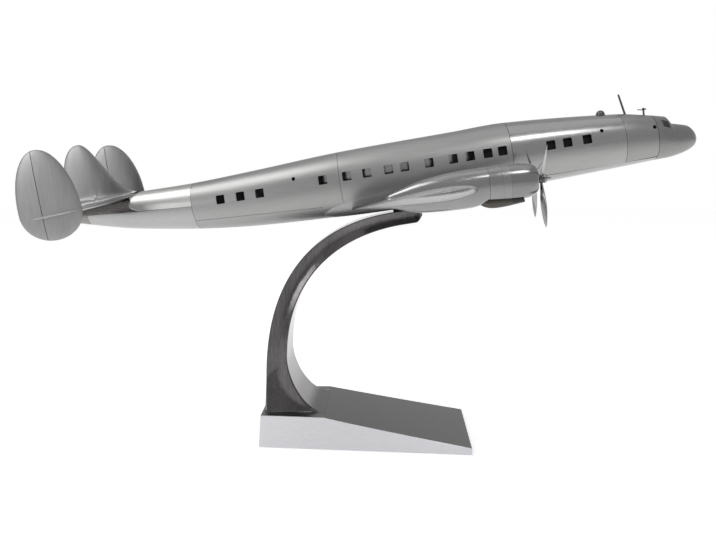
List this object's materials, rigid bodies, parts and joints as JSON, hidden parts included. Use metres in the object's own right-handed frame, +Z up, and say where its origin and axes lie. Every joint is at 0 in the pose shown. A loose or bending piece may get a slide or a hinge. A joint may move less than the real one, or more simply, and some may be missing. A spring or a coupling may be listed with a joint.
{
  "type": "model airliner",
  "caption": "Desk model of a propeller airliner in bare aluminium, with a triple tail, held nose-up by a curved arm on a wedge base.",
  "frame": {"origin": "centre of the base's underside, on the table", "axes": "+X towards the aircraft's nose, +Y towards its port wing tip, +Z up"},
  "size_m": [0.8611, 0.938, 0.4732],
  "materials": {
    "satin_skin": "brushed satin",
    "cast_aluminium": "satin",
    "polished_aluminium": "polished",
    "base_aluminium": "brushed",
    "felt": "matt",
    "rubber": "matt",
    "dark_glazing": "gloss",
    "blackened_metal": "matt",
    "steel": "satin"
  },
  "bodies": {
    "display_model": {"base_wedge": "base_aluminium", "base_felt": "felt", "arm_screws": "steel", "stand_arm": "polished_aluminium", "saddle_pad": "rubber", "saddle_screws": "steel", "nose_cap": "satin_skin", "nose_section": "satin_skin", "front_section": "satin_skin", "centre_section": "satin_skin", "rear_section": "satin_skin", "tail_section": "satin_skin", "tail_cone": "satin_skin", "belly_front": "satin_skin", "belly_rear": "satin_skin", "belly_tail": "satin_skin", "joint_rings": "cast_aluminium", "wing_fairing": "satin_skin", "wing_spar": "cast_aluminium", "wing_port": "cast_aluminium", "wing_starboard": "cast_aluminium", "windscreen": "dark_glazing", "astrodome": "dark_glazing", "antenna_mast": "steel", "tee_antenna": "steel", "nacelle_outer_port": "cast_aluminium", "nacelle_inner_port": "cast_aluminium", "nacelle_inner_starboard": "cast_aluminium", "nacelle_outer_starboard": "cast_aluminium", "cowl_outer_port": "satin_skin", "cowl_inner_port": "satin_skin", "cowl_inner_starboard": "satin_skin", "cowl_outer_starboard": "satin_skin", "scoop_outer_port": "satin_skin", "scoop_inner_port": "satin_skin", "scoop_inner_starboard": "satin_skin", "scoop_outer_starboard": "satin_skin", "engine_outer_port": "blackened_metal", "engine_inner_port": "blackened_metal", "engine_inner_starboard": "blackened_metal", "engine_outer_starboard": "blackened_metal", "shaft_outer_port": "steel", "shaft_inner_port": "steel", "shaft_inner_starboard": "steel", "shaft_outer_starboard": "steel", "stabilizer": "cast_aluminium", "fin_centre": "cast_aluminium", "fin_port": "cast_aluminium", "fin_starboard": "cast_aluminium"},
    "propeller_body_outer_port": {"propeller_outer_port": "cast_aluminium", "spinner_outer_port": "polished_aluminium"},
    "propeller_body_inner_port": {"propeller_inner_port": "cast_aluminium", "spinner_inner_port": "polished_aluminium"},
    "propeller_body_inner_starboard": {"propeller_inner_starboard": "cast_aluminium", "spinner_inner_starboard": "polished_aluminium"},
    "propeller_body_outer_starboard": {"propeller_outer_starboard": "cast_aluminium", "spinner_outer_starboard": "polished_aluminium"}
  },
  "joints": [
    {"name": "spin_outer_port", "type": "hinge", "parent": "display_model", "child": "propeller_body_outer_port", "pos_m": [0.18579, 0.222, 0.37203], "axis": [0.9942, 0, 0.108], "continuous": true},
    {"name": "spin_inner_port", "type": "hinge", "parent": "display_model", "child": "propeller_body_inner_port", "pos_m": [0.20176, 0.11, 0.37036], "axis": [0.9942, 0, 0.108], "continuous": true},
    {"name": "spin_inner_starboard", "type": "hinge", "parent": "display_model", "child": "propeller_body_inner_starboard", "pos_m": [0.20176, -0.11, 0.37036], "axis": [0.9942, 0, 0.108], "continuous": true},
    {"name": "spin_outer_starboard", "type": "hinge", "parent": "display_model", "child": "propeller_body_outer_starboard", "pos_m": [0.18579, -0.222, 0.37203], "axis": [0.9942, 0, 0.108], "continuous": true}
  ]
}
